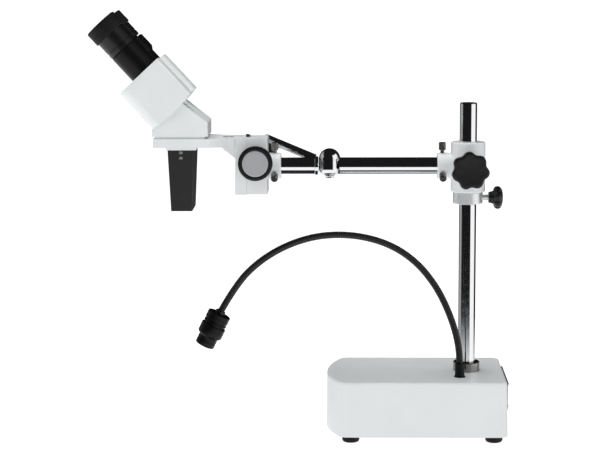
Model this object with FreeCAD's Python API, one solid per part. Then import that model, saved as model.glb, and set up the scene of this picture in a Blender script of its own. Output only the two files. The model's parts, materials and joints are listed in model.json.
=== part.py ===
"""Stereo microscope on a jointed boom stand, with a gooseneck lamp on its weighted base.

Millimetres. +Z is up, the head reaches out towards -X, and the stand is symmetric about Y = 0 except for
its lamp and its knobs. Shapes are modelled about the column's axis, then moved so that the origin is on the
table under the middle of the whole object.
"""

import FreeCAD
import Part
import math
import os

V = FreeCAD.Vector
Y, Z = V(0, 1, 0), V(0, 0, 1)

# ---- driving dimensions ----------------------------------------------------------------------------------

# base casting
BASE_FRONT = -180.5
BASE_BACK = 47.5
BASE_HALF_WIDTH = 79.0
BASE_BOTTOM = 10.0
BASE_TOP = 80.0
BASE_FLARE = 1.2
BASE_WALL = 4.0
FRONT_SAGITTA = 19.0
CORNER_RADIUS = 11.0
FRONT_CORNER_RADIUS = 11.0
TOP_EDGE_RADIUS = 3.0
PLATE_THICKNESS = 2.0
FOOT_RADIUS = 11.0
FOOT_X = (-150.0, 32.0)
FOOT_Y = 60.0

# column and what slides on it
TUBE_RADIUS = 11.0
TUBE_WALL = 3.0
RUNNING_FIT = 0.05
COLUMN_TOP = 427.3
FLANGE_RADIUS = 17.0
FLANGE_HEIGHT = 12.0
COLLAR_BOTTOM = 298.4
COLLAR_TOP = 313.4
COLLAR_RADIUS = 19.0
CLAMP_RADIUS = 22.0
CLAMP_TOP = 377.4
COLLAR_KNOB_Z = 305.8

# boom
ARM_Z = 346.5
BOSS_RADIUS = 16.75
BOSS_END = -39.5
BOSS_SCREW_X = -33.0
SCREW_RADIUS = 2.5
SIDE_SCREW_DROP = math.radians(28.0)
TOP_SCREW_AIM = (0.0, 0.0, 1.0)
SIDE_SCREW_AIM = (0.0, -math.cos(SIDE_SCREW_DROP), -math.sin(SIDE_SCREW_DROP))
ELBOW_X = -177.0
ELBOW_RADIUS = 13.85
ELBOW_BOTTOM = 330.5
ELBOW_TOP = 367.5
TONGUE_HALF = 8.6
ARM_INNER_END = -13.3
STAY_RADIUS = 5.5
FORK_GAP = 0.2

# focus mount
FOCUS_BOSS_RADIUS = 17.0
FOCUS_BOSS_BACK = -239.0
BLOCK_BACK = -256.0
BLOCK_FRONT = -282.4
CARRIAGE_FRONT = -297.0
BLOCK_HALF_WIDTH = 24.0
BLOCK_BOTTOM = 312.7
BLOCK_TOP = 383.9
FOCUS_X = -270.2
FOCUS_Z = 354.4
FOCUS_SCREW_X = -247.0
GEAR_MODULE = 1.0
PINION_TEETH = 18
PINION_HALF_WIDTH = 4.0
KNOB_RADIUS = 21.75
KNOB_OUTER_Y = 50.0
KNOB_THICKNESS = 13.0
DISC_RADIUS = 16.5

# head
PLATE_BOTTOM = 373.3
PLATE_TOP = 384.4
HEAD_HALF_WIDTH = 35.0
HEAD_FRONT = -401.0
HEAD_BACK = -330.4
HEAD_FLOOR = 387.4
OBJECTIVE_X = -365.0
OBJECTIVE_TOP = 370.3
SHOULDER_Z = 405.0
RIDGE_X = -363.3
ARM_SCREW_X = (-310.0, -302.5)
SKIRT_DROP = 3.0
SKIRT_Y = 43.5
OBJECTIVE_BOTTOM = 292.0

# eyepiece side, measured along axes u and v that lean back from X and Z by the viewing angle
VIEW_LEAN = 42.7
SLOPE_V = 563.1
HOUSING_LOW = 563.5
HOUSING_HIGH = 620.9
COVER_TOP = 623.4
HOUSING_U = (-23.5, 43.2)
EYE_Y = 33.0
PIVOT_U = -4.7
PIVOT_Y = 22.0
EYE_U = 18.5
EYE_TUBE_RADIUS = 20.0
EYECUP_RADIUS = 22.0
EYECUP_START = 685.9

# gooseneck lamp
LAMP_Y = -41.0
LAMP_FOOT_X = -11.0
NECK_RADIUS = 4.5
# how far out of the socket's axis and how high the neck's route goes, from its foot to the lamp
NECK_ROUTE = (
    (0.0, 87.0), (0.0, 108.0), (-4.5, 135.0), (-15.0, 166.0), (-31.0, 198.0), (-55.5, 228.5), (-88.5, 251.0),
    (-130.5, 263.0), (-175.0, 263.5), (-216.0, 252.3), (-253.5, 231.0), (-284.0, 201.0), (-305.0, 164.0),
)
LAMP_TILT = 26.0

NODES = {}


# ---- helpers ---------------------------------------------------------------------------------------------

def rod(radius, start, direction, length):
    """A solid cylinder from start along direction."""
    return Part.makeCylinder(radius, length, V(*start), V(*direction))


def tube(outer, inner, start, direction, length):
    """A hollow cylinder, open at both ends."""
    return rod(outer, start, direction, length).cut(rod(inner, start, direction, length))


def cone(radius_1, radius_2, start, direction, length):
    return Part.makeCone(radius_1, radius_2, length, V(*start), V(*direction))


def box(x0, x1, y0, y1, z0, z1):
    return Part.makeBox(x1 - x0, y1 - y0, z1 - z0, V(x0, y0, z0))


def side_profile(points, y0, y1):
    """Extrudes an outline, given as (x, z) pairs, from y0 to y1."""
    wire = Part.makePolygon([V(x, y0, z) for x, z in points] + [V(points[0][0], y0, points[0][1])])
    return Part.Face(wire).extrude(V(0, y1 - y0, 0))


def turned(profile, start, direction):
    """A solid of revolution from (radius, height) pairs about an axis through start."""
    pts = [V(r, 0, h) for r, h in profile]
    solid = Part.Face(Part.makePolygon(pts + pts[:1])).revolve(V(0, 0, 0), Z, 360)
    solid.Placement = FreeCAD.Placement(V(*start), FreeCAD.Rotation(Z, V(*direction)))
    return solid


def rounded(shape, radius, wanted):
    """Fillets the edges that wanted() picks, or leaves the shape as it is where none fits."""
    edges = [e for e in shape.Edges if wanted(e)]
    return shape.makeFillet(radius, edges) if edges else shape


def level_at(height, tolerance=0.01):
    """Picks edges that lie wholly at one height."""
    def wanted(edge):
        b = edge.BoundBox
        return abs(b.ZMin - height) < tolerance and abs(b.ZMax - height) < tolerance
    return wanted


def upright(edge):
    b = edge.BoundBox
    return b.XLength < 0.01 and b.YLength < 0.01 and b.ZLength > 1.0


def tilted(shape):
    """Moves a shape from eyepiece axes, where x is u and z is v, to the model's axes."""
    placed = shape.copy()
    lean = FreeCAD.Placement(V(0, 0, 0), FreeCAD.Rotation(Y, -VIEW_LEAN))
    placed.Placement = lean.multiply(placed.Placement)
    return placed


def on_axis(start, direction, distance):
    """The point at a distance from start along a direction."""
    step = V(*direction).normalize() * distance
    return (start[0] + step.x, start[1] + step.y, start[2] + step.z)


def lobed_knob(radius, thickness, lobes, start, direction, first_angle):
    """A star knob: a disc with round lobes and round valleys, with softened rims."""
    valley = radius * math.pi / lobes * 0.42
    disc = rod(radius, (0, 0, 0), (0, 0, 1), thickness)
    for i in range(lobes):
        angle = math.radians(first_angle + (i + 0.5) * 360.0 / lobes)
        reach = radius + valley * 0.35
        notch = (reach * math.cos(angle), reach * math.sin(angle), 0)
        disc = disc.cut(rod(valley, notch, (0, 0, 1), thickness))
    disc = rounded(disc, radius * 0.09, upright)
    rims = [e for e in disc.Edges if e.BoundBox.ZLength < 0.01]
    disc = disc.makeFillet(radius * 0.08, rims)
    disc.Placement = FreeCAD.Placement(V(*start), FreeCAD.Rotation(Z, V(*direction)))
    return disc


def save(name, *solids):
    """Keeps the solids of one node."""
    NODES[name] = list(solids)


# ---- base ------------------------------------------------------------------------------------------------

def base_outline(grow, height):
    """The base's outline: one arc across the front end, straight sides, and round back corners."""
    x_corner = BASE_FRONT + FRONT_SAGITTA
    half = BASE_HALF_WIDTH + grow
    back = BASE_BACK + grow
    front = BASE_FRONT - grow
    r = CORNER_RADIUS
    diagonal = r * (1 - math.sqrt(0.5))
    points = {
        "front_low": V(x_corner, -half, height),
        "front_tip": V(front, 0, height),
        "front_high": V(x_corner, half, height),
    }
    edges = [
        Part.Arc(points["front_high"], points["front_tip"], points["front_low"]).toShape(),
        Part.makeLine(points["front_low"], V(back - r, -half, height)),
        Part.Arc(V(back - r, -half, height), V(back - diagonal, -half + diagonal, height),
                 V(back, -half + r, height)).toShape(),
        Part.makeLine(V(back, -half + r, height), V(back, half - r, height)),
        Part.Arc(V(back, half - r, height), V(back - diagonal, half - diagonal, height),
                 V(back - r, half, height)).toShape(),
        Part.makeLine(V(back - r, half, height), points["front_high"]),
    ]
    return Part.Wire(edges)


def base_block(grow_low, grow_high, z0, z1):
    return Part.makeLoft([base_outline(grow_low, z0), base_outline(grow_high, z1)], True, True)


PANEL_Z = (38.0, 75.0)
PANEL_HALF_WIDTH = 46.0
PANEL_THICKNESS = 2.0
PANEL_RECESS = 7.0
PANEL_X = BASE_BACK + 1.0
TRAY_Y = 37.6
TRAY_Z = (41.4, 71.6)
PANEL_SCREWS = [(y, z) for y in (-42.0, 42.0) for z in (42.0, 71.0)]
SWITCH_Y = -24.0
DIMMER_Y = 4.0
JACK_Y = 27.0
DIAL_RADIUS = 8.0
DIAL_LENGTH = 7.0
ROCKER_REST = 8.0
PANEL_CENTRE_Z = 56.5
BOSS_X = (-134.0, -60.0, 17.0)
PLATE_SCREWS = [(x, y) for x in BOSS_X for y in (-66.0, 66.0)]


def make_base():
    outer = base_block(BASE_FLARE, 0.0, BASE_BOTTOM, BASE_TOP)
    outer = rounded(outer, FRONT_CORNER_RADIUS, lambda e: e.BoundBox.ZLength > 50 and e.BoundBox.XMin < -150)
    outer = rounded(outer, TOP_EDGE_RADIUS, level_at(BASE_TOP))
    inner = base_block(BASE_FLARE - BASE_WALL, -BASE_WALL, BASE_BOTTOM, BASE_TOP - BASE_WALL)
    shell = outer.cut(inner)
    for x, y in PLATE_SCREWS:
        boss = rod(5.0, (x, y, BASE_BOTTOM + PLATE_THICKNESS), (0, 0, 1), 64.0)
        wall = box(x - 2.0, x + 2.0, min(y, 76 * y / abs(y)), max(y, 76 * y / abs(y)),
                   BASE_BOTTOM + PLATE_THICKNESS, BASE_BOTTOM + 66.0)
        shell = shell.fuse(boss.fuse(wall))
        shell = shell.cut(rod(1.5, (x, y, BASE_BOTTOM), (0, 0, 1), 14.0))
    # seat, bolt and wire holes of the column and the lamp, and the window behind the rear panel
    shell = shell.fuse(rod(20.0, (0, 0, 64.0), (0, 0, 1), 12.5))
    shell = shell.cut(rod(6.0, (0, 0, 50.0), (0, 0, 1), 40.0))
    shell = shell.cut(rod(4.0, (LAMP_FOOT_X, LAMP_Y, 64.0), (0, 0, 1), 30.0))
    shell = shell.cut(box(30, 60, -TRAY_Y - 0.4, TRAY_Y + 0.4, TRAY_Z[0] - 0.4, TRAY_Z[1] + 0.4))
    shell = shell.cut(box(PANEL_X - 1.0, 60, -PANEL_HALF_WIDTH - 0.3, PANEL_HALF_WIDTH + 0.3,
                          PANEL_Z[0] - 0.3, PANEL_Z[1] + 0.3))
    for y, z in PANEL_SCREWS:
        shell = shell.cut(rod(1.25, (30.0, y, z), (1, 0, 0), 20.0))
    save("base_housing", shell)

    plate = base_block(BASE_FLARE - BASE_WALL - 0.3, BASE_FLARE - BASE_WALL - 0.3, BASE_BOTTOM,
                       BASE_BOTTOM + PLATE_THICKNESS)
    screws, feet, foot_screws = [], [], []
    for x, y in PLATE_SCREWS:
        plate = plate.cut(rod(1.7, (x, y, 0), (0, 0, 1), 20.0))
        head = turned([(0, 0), (3.4, 0), (3.4, -0.8), (2.4, -1.9), (0, -1.9)], (x, y, BASE_BOTTOM), (0, 0, 1))
        screws.append(head.fuse(rod(1.45, (x, y, BASE_BOTTOM), (0, 0, 1), 12.0)))
    for x in FOOT_X:
        for y in (-FOOT_Y, FOOT_Y):
            plate = plate.cut(rod(2.2, (x, y, 0), (0, 0, 1), 20.0))
            dome = rod(FOOT_RADIUS, (x, y, 0), (0, 0, 1), BASE_BOTTOM)
            dome = rounded(dome, 3.5, level_at(0))
            dome = dome.cut(rod(4.2, (x, y, 0), (0, 0, 1), 5.0)).cut(rod(2.2, (x, y, 0), (0, 0, 1), 12.0))
            feet.append(dome)
            slot = box(x - 3.2, x + 3.2, y - 0.5, y + 0.5, 1.9, 3.0)
            screw = rod(4.0, (x, y, 2.0), (0, 0, 1), 3.0).cut(slot)
            foot_screws.append(screw.fuse(rod(2.0, (x, y, 5.0), (0, 0, 1), 9.0)))
    save("base_plate", plate)
    save("rubber_feet", *feet)
    save("base_screws", *screws, *foot_screws)

    ballast = box(-128.0, -20.0, -52.0, 52.0, BASE_BOTTOM + PLATE_THICKNESS, 66.0)
    save("counterweight", rounded(ballast, 4.0, upright))

    bolt = rod(10.0, (0, 0, 56.0), (0, 0, 1), 8.0).fuse(rod(5.9, (0, 0, 64.0), (0, 0, 1), 45.0))
    save("column_bolt", bolt)


def make_column():
    tube_solid = rod(TUBE_RADIUS, (0, 0, BASE_TOP), (0, 0, 1), COLUMN_TOP - BASE_TOP)
    tube_solid = tube_solid.makeChamfer(1.0, [e for e in tube_solid.Edges if level_at(COLUMN_TOP)(e)])
    tube_solid = tube_solid.cut(rod(TUBE_RADIUS - TUBE_WALL, (0, 0, BASE_TOP + 30.0), (0, 0, 1), 311.0))
    tube_solid = tube_solid.cut(rod(6.0, (0, 0, BASE_TOP), (0, 0, 1), 31.0))
    save("column_tube", tube_solid)
    flange = tube(FLANGE_RADIUS, TUBE_RADIUS, (0, 0, BASE_TOP), (0, 0, 1), FLANGE_HEIGHT)
    flange = flange.makeChamfer(1.0, [e for e in flange.Edges if level_at(BASE_TOP + FLANGE_HEIGHT)(e)])
    save("column_flange", flange)


def make_rear_panel():
    """A dished steel tray: its rim lies on the base's back, and the controls stand on its floor."""
    rim_face = PANEL_X + PANEL_THICKNESS
    face = rim_face - PANEL_RECESS - 1.0
    rim = box(PANEL_X - 1.0, rim_face, -PANEL_HALF_WIDTH, PANEL_HALF_WIDTH, *PANEL_Z)
    tray = box(face - PANEL_THICKNESS, rim_face - 1.0, -TRAY_Y, TRAY_Y, *TRAY_Z)
    dish = box(face, rim_face + 1.0, -TRAY_Y + PANEL_THICKNESS, TRAY_Y - PANEL_THICKNESS,
               TRAY_Z[0] + PANEL_THICKNESS, TRAY_Z[1] - PANEL_THICKNESS)
    panel = rim.fuse(tray).cut(dish)
    panel = panel.cut(box(30, 60, SWITCH_Y - 6.5, SWITCH_Y + 6.5, PANEL_CENTRE_Z - 9.5, PANEL_CENTRE_Z + 9.5))
    panel = panel.cut(rod(3.5, (30, DIMMER_Y, PANEL_CENTRE_Z), (1, 0, 0), 30))
    panel = panel.cut(rod(5.5, (30, JACK_Y, PANEL_CENTRE_Z), (1, 0, 0), 30))
    screws = []
    for y, z in PANEL_SCREWS:
        panel = panel.cut(rod(1.6, (30, y, z), (1, 0, 0), 30))
        head = turned([(0, 0), (2.7, 0), (2.7, 0.4), (1.8, 1.0), (0, 1.0)], (rim_face, y, z), (1, 0, 0))
        screws.append(head.fuse(rod(1.2, (rim_face - 8.0, y, z), (1, 0, 0), 8.0)))
    save("rear_panel", panel)
    save("rear_panel_screws", *screws)

    frame = box(face - 14.0, face, SWITCH_Y - 6.4, SWITCH_Y + 6.4, PANEL_CENTRE_Z - 9.4, PANEL_CENTRE_Z + 9.4)
    frame = frame.fuse(box(face, face + 1.6, SWITCH_Y - 7.5, SWITCH_Y + 7.5,
                           PANEL_CENTRE_Z - 10.5, PANEL_CENTRE_Z + 10.5))
    frame = frame.cut(box(face - 8.0, face + 3.0, SWITCH_Y - 4.6, SWITCH_Y + 4.6,
                          PANEL_CENTRE_Z - 7.8, PANEL_CENTRE_Z + 7.8))
    pivot = (face - 3.0, SWITCH_Y, PANEL_CENTRE_Z)
    frame = frame.cut(rod(1.05, (pivot[0], SWITCH_Y - 6.0, pivot[2]), (0, 1, 0), 12.0))
    save("switch_frame", frame)
    half = [(-2.0, 3.0), (4.0, 6.8), (5.4, 6.8), (3.8, 0.0)]
    outline = half + [(x, -z) for x, z in reversed(half[:3])]
    rocker = side_profile([(pivot[0] + x, pivot[2] + z) for x, z in outline], SWITCH_Y - 4.3, SWITCH_Y + 4.3)
    rocker = rocker.fuse(rod(1.0, (pivot[0], SWITCH_Y - 5.6, pivot[2]), (0, 1, 0), 11.2))
    rocker.rotate(V(*pivot), Y, -ROCKER_REST)
    save("rocker_switch", rocker)

    start = face + 0.8
    dial = rod(DIAL_RADIUS, (start, DIMMER_Y, PANEL_CENTRE_Z), (1, 0, 0), DIAL_LENGTH)
    dial = dial.makeChamfer(0.8, [e for e in dial.Edges if e.BoundBox.XMin > start + DIAL_LENGTH - 0.1])
    for i in range(16):
        a = math.radians(i * 22.5)
        reach = DIAL_RADIUS + 0.5
        centre = (start, DIMMER_Y + reach * math.cos(a), PANEL_CENTRE_Z + reach * math.sin(a))
        dial = dial.cut(rod(1.0, centre, (1, 0, 0), 9.0))
    pointer = box(start + DIAL_LENGTH - 0.8, start + DIAL_LENGTH + 1.0, DIMMER_Y - 0.5, DIMMER_Y + 0.5,
                  PANEL_CENTRE_Z + 2.0, PANEL_CENTRE_Z + DIAL_RADIUS + 1.0)
    dial = dial.cut(pointer).fuse(rod(2.95, (face - 8.0, DIMMER_Y, PANEL_CENTRE_Z), (1, 0, 0), 9.0))
    save("dimmer_knob", dial)

    jack = turned([(3.2, -12.0), (5.4, -12.0), (5.4, 0.0), (6.8, 0.0), (6.8, 1.8), (3.2, 1.8)],
                  (face, JACK_Y, PANEL_CENTRE_Z), (1, 0, 0))
    jack = jack.fuse(rod(3.3, (face - 12.0, JACK_Y, PANEL_CENTRE_Z), (1, 0, 0), 2.0))
    jack = jack.fuse(rod(1.0, (face - 10.5, JACK_Y, PANEL_CENTRE_Z), (1, 0, 0), 9.5))
    save("power_jack", jack)

    board_face = face - 14.4
    board = box(board_face - 1.6, board_face, -40.0, 40.0, 24.0, 62.0)
    pot = rod(8.5, (board_face, DIMMER_Y, PANEL_CENTRE_Z), (1, 0, 0), 4.0)
    bushing = tube(3.4, 3.0, (face - 9.0, DIMMER_Y, PANEL_CENTRE_Z), (1, 0, 0), 8.9)
    pot = pot.fuse(rod(3.4, (board_face, DIMMER_Y, PANEL_CENTRE_Z), (1, 0, 0), 6.0)).fuse(bushing)
    can = rod(4.0, (board_face, -30.0, 32.0), (1, 0, 0), 12.0)
    chip = box(board_face, board_face + 2.0, 18.0, 30.0, 26.0, 34.0)
    save("driver_board", board, pot, can, chip)


# ---- gooseneck lamp --------------------------------------------------------------------------------------

def rounded_route(points, share=0.45):
    """A path of straight runs joined by tangent arcs, each as large as its two runs allow."""
    edges, start, radii = [], points[0], []
    for before, corner, after in zip(points, points[1:], points[2:]):
        a, b = (before - corner), (after - corner)
        run = min(a.Length, b.Length)
        a.normalize()
        b.normalize()
        half_turn = (math.pi - a.getAngle(b)) / 2
        radius = share * run / math.tan(half_turn)
        radii.append(radius)
        reach = share * run
        into, out = corner + a * reach, corner + b * reach
        bisector = (a + b).normalize()
        middle = corner + bisector * (radius / math.cos(half_turn) - radius)
        edges.append(Part.makeLine(start, into))
        edges.append(Part.Arc(into, middle, out).toShape())
        start = out
    edges.append(Part.makeLine(start, points[-1]))
    print("neck radii", [round(r) for r in radii])
    return Part.Wire(edges)


def lamp_axis():
    """Unit direction in which the lamp shines."""
    tilt = math.radians(LAMP_TILT)
    return (-math.sin(tilt), 0.0, -math.cos(tilt))


def make_lamp():
    foot = (LAMP_FOOT_X, LAMP_Y, BASE_TOP)
    socket = turned([(0, 0), (7.2, 0), (7.2, 0.8), (6.2, 2.2), (6.2, 17.0), (5.4, 18.6), (4.75, 18.6),
                     (4.75, 7.0), (0, 7.0)], foot, (0, 0, 1))
    save("lamp_socket", socket)

    points = [V(LAMP_FOOT_X + x, LAMP_Y, z) for x, z in NECK_ROUTE]
    path = rounded_route(points)
    ring = Part.Wire(Part.makeCircle(NECK_RADIUS, points[0], points[1] - points[0]))
    neck = path.makePipeShell([ring], True, False)
    print("neck volume ratio", round(neck.Volume / (math.pi * NECK_RADIUS ** 2 * path.Length), 4),
          "length", round(path.Length))
    # a turned ferrule ends the neck, and the lamp turns on its spigot
    aim = lamp_axis()
    end = (points[-1].x, points[-1].y, points[-1].z)
    ferrule = rod(6.5, on_axis(end, aim, -2.0), aim, 8.0)
    spigot = rod(4.0, on_axis(end, aim, 6.0), aim, 8.0)
    save("gooseneck", neck.fuse(ferrule).fuse(spigot))

    start = on_axis(end, aim, 6.2)
    body = turned([
        (4.05, 0), (9.0, 0), (13.0, 2.0), (15.0, 4.0), (15.0, 6.0), (14.2, 6.6), (14.2, 7.6), (15.0, 8.2),
        (15.0, 10.2), (14.2, 10.8), (14.2, 11.8), (15.0, 12.4), (16.0, 13.4), (16.0, 29.0), (14.5, 30.5),
        (10.5, 30.5), (10.5, 14.0), (4.05, 14.0)], start, aim)
    save("lamp_body", body)
    bezel = turned([
        (10.4, 22.0), (10.4, 30.7), (13.2, 30.7), (12.6, 32.0), (12.6, 44.0), (11.6, 45.0), (9.4, 45.0),
        (9.4, 36.0), (8.4, 36.0), (8.4, 22.0)], start, aim)
    save("lamp_bezel", bezel)
    lens = turned([(0, 40.5), (4.5, 40.1), (7.5, 39.0), (9.3, 37.4), (9.3, 36.1), (0, 36.1)], start, aim)
    save("lamp_lens", lens)


# ---- sliding clamp on the column -------------------------------------------------------------------------

def make_collar():
    bore = rod(TUBE_RADIUS + RUNNING_FIT, (0, 0, COLLAR_BOTTOM), (0, 0, 1), 20)
    collar = rod(COLLAR_RADIUS, (0, 0, COLLAR_BOTTOM), (0, 0, 1), COLLAR_TOP - COLLAR_BOTTOM)
    collar = collar.makeChamfer(0.8, [e for e in collar.Edges if e.BoundBox.ZLength < 0.01])
    collar = collar.cut(bore).cut(rod(3.55, (0, 0, COLLAR_KNOB_Z), (1, 0, 0), 30))
    save("support_collar", collar)
    stud = rod(3.5, (11.4, 0, COLLAR_KNOB_Z), (1, 0, 0), 20.0)
    save("collar_stud", stud)
    hub = rod(8.0, (26.6, 0, COLLAR_KNOB_Z), (1, 0, 0), 7.0)
    knob = lobed_knob(15.0, 12.0, 7, (33.0, 0, COLLAR_KNOB_Z), (1, 0, 0), 0.0).fuse(hub)
    save("collar_knob", knob.cut(rod(3.5, (26.0, 0, COLLAR_KNOB_Z), (1, 0, 0), 5.4)))


def make_clamp_block():
    height = CLAMP_TOP - COLLAR_TOP
    block = rod(CLAMP_RADIUS, (0, 0, COLLAR_TOP + 0.1), (0, 0, 1), height - 0.1)
    block = rounded(block, 1.5, lambda e: level_at(CLAMP_TOP)(e) or level_at(COLLAR_TOP + 0.1)(e))
    boss = rod(BOSS_RADIUS, (BOSS_END, 0, ARM_Z), (1, 0, 0), -BOSS_END)
    boss = rounded(boss, 1.0, lambda e: e.BoundBox.XMax < BOSS_END + 0.01)
    knob_pad = rod(13.0, (0, -26.0, ARM_Z - 1.0), (0, 1, 0), 26.0)
    block = block.fuse(boss).fuse(knob_pad)
    block = block.cut(rod(TUBE_RADIUS + RUNNING_FIT, (0, 0, COLLAR_TOP - 1), (0, 0, 1), height + 2))
    block = block.cut(rod(TUBE_RADIUS + RUNNING_FIT, (BOSS_END - 1, 0, ARM_Z), (1, 0, 0), -BOSS_END - 12.0))
    block = block.cut(rod(4.05, (0, -30, ARM_Z - 1.0), (0, 1, 0), 30.0))
    for aim in (TOP_SCREW_AIM, SIDE_SCREW_AIM):
        block = block.cut(rod(SCREW_RADIUS + RUNNING_FIT, (BOSS_SCREW_X, 0, ARM_Z), aim, 20.0))
    save("clamp_block", block)

    stud = rod(4.0, (0, -11.4, ARM_Z - 1.0), (0, -1, 0), 30.0)
    save("clamp_stud", stud)
    hub = cone(12.5, 15.5, (0, -26.4, ARM_Z - 1.0), (0, -1, 0), 16.0)
    knob = lobed_knob(24.0, 16.0, 7, (0, -41.0, ARM_Z - 1.0), (0, -1, 0), -3.0).fuse(hub)
    save("clamp_star_knob", knob.cut(rod(4.0, (0, -26.0, ARM_Z - 1.0), (0, -1, 0), 15.4)))


def thumb_screw(x, boss_radius, aim):
    """A knurled nickel screw whose tip stops just short of the tube it grips."""
    axis_point = (x, 0.0, ARM_Z)
    tip = on_axis(axis_point, aim, TUBE_RADIUS + 0.4)
    shaft = rod(SCREW_RADIUS, tip, aim, boss_radius + 3.6 - TUBE_RADIUS)
    head = rod(4.5, (0, 0, 0), (0, 0, 1), 10.0)
    head = head.makeChamfer(0.6, [e for e in head.Edges if e.BoundBox.ZLength < 0.01])
    for i in range(12):
        a = math.radians(i * 30)
        head = head.cut(rod(0.55, (4.75 * math.cos(a), 4.75 * math.sin(a), 0), (0, 0, 1), 10))
    start = on_axis(axis_point, aim, boss_radius + 3.5)
    head.Placement = FreeCAD.Placement(V(*start), FreeCAD.Rotation(Z, V(*aim)))
    return shaft.fuse(head)


def make_thumb_screws():
    save("arm_screw_top", thumb_screw(BOSS_SCREW_X, BOSS_RADIUS, TOP_SCREW_AIM))
    save("arm_screw_side", thumb_screw(BOSS_SCREW_X, BOSS_RADIUS, SIDE_SCREW_AIM))
    save("focus_screw_top", thumb_screw(FOCUS_SCREW_X, FOCUS_BOSS_RADIUS, TOP_SCREW_AIM))
    save("focus_screw_side", thumb_screw(FOCUS_SCREW_X, FOCUS_BOSS_RADIUS, SIDE_SCREW_AIM))


# ---- boom ------------------------------------------------------------------------------------------------

def elbow_disc(z0, z1):
    return rod(ELBOW_RADIUS, (ELBOW_X, 0, z0), (0, 0, 1), z1 - z0)


def make_boom():
    length = ARM_INNER_END - (ELBOW_X + ELBOW_RADIUS - 1.0)
    start = (ELBOW_X + ELBOW_RADIUS - 1.0, 0, ARM_Z)
    arm = tube(TUBE_RADIUS, TUBE_RADIUS - TUBE_WALL, start, (1, 0, 0), length)
    tongue_low, tongue_high = ARM_Z - TONGUE_HALF, ARM_Z + TONGUE_HALF
    keep_out = rod(ELBOW_RADIUS + 0.4, (ELBOW_X, 0, tongue_low - FORK_GAP), (0, 0, 1),
                   tongue_high - tongue_low + 2 * FORK_GAP)
    arm = arm.cut(elbow_disc(0, 400)).cut(keep_out)
    save("arm_tube", arm)

    lugs = elbow_disc(ELBOW_BOTTOM, ELBOW_TOP - 4.0)
    plug = rod(TUBE_RADIUS - TUBE_WALL, start, (1, 0, 0), 18.0)
    collar = rod(TUBE_RADIUS + 0.8, (ELBOW_X, 0, ARM_Z), (1, 0, 0), ELBOW_RADIUS + 2.0)
    collar = collar.common(box(ELBOW_X, 0, -15, 15, ELBOW_BOTTOM, ELBOW_TOP - 4.0))
    fork = lugs.fuse(collar.cut(arm)).fuse(plug).cut(arm).cut(keep_out)
    fork = fork.cut(rod(4.05, (ELBOW_X, 0, ELBOW_BOTTOM - 1), (0, 0, 1), 40))
    save("elbow_fork", fork)

    dome = turned([(0, 0), (ELBOW_RADIUS, 0), (ELBOW_RADIUS - 0.4, 1.6), (ELBOW_RADIUS - 2.4, 3.6),
                   (ELBOW_RADIUS - 6.2, 5.2), (0, 6.0)], (ELBOW_X, 0, ELBOW_TOP - 4.0), (0, 0, 1))
    nut = turned([(0, 0), (8.0, 0), (8.0, -2.0), (6.0, -3.2), (0, -3.2)],
                 (ELBOW_X, 0, ELBOW_BOTTOM), (0, 0, 1))
    pin = rod(4.0, (ELBOW_X, 0, ELBOW_BOTTOM), (0, 0, 1), ELBOW_TOP - 4.0 - ELBOW_BOTTOM)
    save("elbow_pin", dome.fuse(pin).fuse(nut))

    tongue = elbow_disc(tongue_low, tongue_high)
    neck = rod(TUBE_RADIUS - TUBE_WALL, (ELBOW_X - ELBOW_RADIUS - 22.0, 0, ARM_Z), (1, 0, 0), 30.0)
    ring = rod(TUBE_RADIUS + 1.2, (ELBOW_X - ELBOW_RADIUS - 4.9, 0, ARM_Z), (1, 0, 0), 4.5)
    bridge = box(ELBOW_X - ELBOW_RADIUS - 2.0, ELBOW_X, -8.0, 8.0, tongue_low, tongue_high)
    tongue = tongue.fuse(neck).fuse(ring).fuse(bridge)
    tongue = tongue.cut(rod(4.05, (ELBOW_X, 0, ELBOW_BOTTOM - 1), (0, 0, 1), 40))
    save("elbow_tongue", tongue)

    fore_end = ELBOW_X - ELBOW_RADIUS - 4.9
    forearm = tube(TUBE_RADIUS, TUBE_RADIUS - TUBE_WALL, (BLOCK_BACK + 1.0, 0, ARM_Z), (1, 0, 0),
                   fore_end - BLOCK_BACK - 1.0)
    save("forearm_tube", forearm)

    # the stay runs beside the forearm from a lug near the elbow to the back of the focus block
    stay_low = V(ELBOW_X - ELBOW_RADIUS - 5.0, 18.0, ARM_Z + 7.5)
    stay_high = V(BLOCK_BACK - 2.0, 28.5, BLOCK_TOP - 5.0)
    way = stay_high - stay_low
    stay = rod(STAY_RADIUS, (stay_low.x, stay_low.y, stay_low.z), (way.x, way.y, way.z), way.Length)
    stay = stay.fuse(Part.makeSphere(STAY_RADIUS, stay_high)).cut(forearm)
    lug = rod(7.0, (ELBOW_X - ELBOW_RADIUS - 14.0, 10.0, ARM_Z + 5.5), (0, 1, 0), 14.0)
    stay = stay.fuse(lug.cut(rod(TUBE_RADIUS, (BLOCK_BACK, 0, ARM_Z), (1, 0, 0), 90)))
    save("stay_rod", stay.cut(box(-300, BLOCK_BACK + 1.0, -BLOCK_HALF_WIDTH, BLOCK_HALF_WIDTH, 300, 400)))


# ---- focus drive -----------------------------------------------------------------------------------------

PITCH_RADIUS = GEAR_MODULE * PINION_TEETH / 2
RACK_PITCH_X = FOCUS_X - PITCH_RADIUS
PRESSURE = math.radians(20.0)
BACKLASH = 0.12
DOVETAIL = ((BLOCK_FRONT, 9.0), (BLOCK_FRONT + 6.0, 13.0))


def involute(radius):
    """Polar angle that an involute of the pinion has gained at a radius."""
    base = PITCH_RADIUS * math.cos(PRESSURE)
    if radius <= base:
        return 0.0
    pressure = math.acos(base / radius)
    return math.tan(pressure) - pressure


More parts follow.
